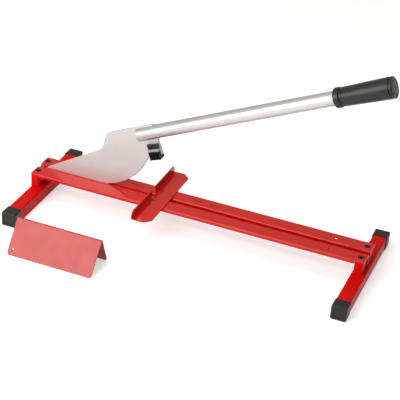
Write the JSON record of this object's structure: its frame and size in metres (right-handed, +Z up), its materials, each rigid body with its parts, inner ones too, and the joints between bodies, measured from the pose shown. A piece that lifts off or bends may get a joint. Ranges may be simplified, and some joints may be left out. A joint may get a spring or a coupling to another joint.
{
  "type": "laminate cutter",
  "caption": "Guillotine cutter for laminate planks: pivoting blade on a long tube handle over a slotted steel table, with a lift-out fence and a loose plank support.",
  "frame": {"origin": "middle of the whole set's footprint, at the level of the end caps' lower faces (the bench)", "axes": "+X along the table from the pivot to the grip end, +Y from the front to the back, +Z up"},
  "size_m": [0.6374, 0.3464, 0.3824],
  "materials": {
    "red_paint": "gloss red powder coat on steel",
    "black_plastic": "satin black moulded plastic",
    "zinc_steel": "bright zinc-plated steel",
    "bush_bronze": "plain sintered bronze",
    "black_steel": "black oxide steel",
    "blade_steel": "satin ground tool steel",
    "tube_aluminium": "satin anodised aluminium tube",
    "grip_rubber": "smooth soft black grip",
    "buffer_rubber": "hard black rubber"
  },
  "bodies": {
    "table": {"front_rail": "red_paint", "front_shear_bar": "red_paint", "left_front_riser": "red_paint", "left_front_end_cap": "black_plastic", "right_front_riser": "red_paint", "right_front_end_cap": "black_plastic", "rear_rail": "red_paint", "rear_shear_bar": "red_paint", "left_rear_riser": "red_paint", "left_rear_end_cap": "black_plastic", "right_rear_riser": "red_paint", "right_rear_end_cap": "black_plastic", "left_cross_bar": "red_paint", "right_cross_bar": "red_paint", "shear_bar_rivets": "zinc_steel", "rail_spacer": "red_paint", "rail_screws": "black_steel", "rail_rivet_nuts": "zinc_steel", "pivot_bolt": "zinc_steel", "pivot_nut": "zinc_steel", "pivot_washers": "zinc_steel", "pivot_bush": "bush_bronze"},
    "blade_lever": {"blade": "blade_steel", "handle_tube": "tube_aluminium", "grip": "grip_rubber", "buffer_pad": "buffer_rubber", "buffer_clamp_plate": "zinc_steel", "buffer_holder": "black_plastic", "buffer_screw": "black_steel", "buffer_nut": "zinc_steel"},
    "fence": {"fence": "red_paint"},
    "plank_support": {"support_stand": "red_paint"}
  },
  "joints": [
    {"name": "blade_swing", "type": "hinge", "parent": "table", "child": "blade_lever", "pos_m": [-0.283, 0.04666, 0.03925], "axis": [0, -1, 0], "range_deg": [-20.3, 60]},
    {"name": "fence_slide", "type": "slide", "parent": "table", "child": "fence", "axis": [1, 0, 0], "range_m": [0, 0.01]},
    {"name": "support_slide", "type": "slide", "parent": "table", "child": "plank_support", "axis": [0, 1, 0], "range_m": [-0.15, 0.1]}
  ]
}
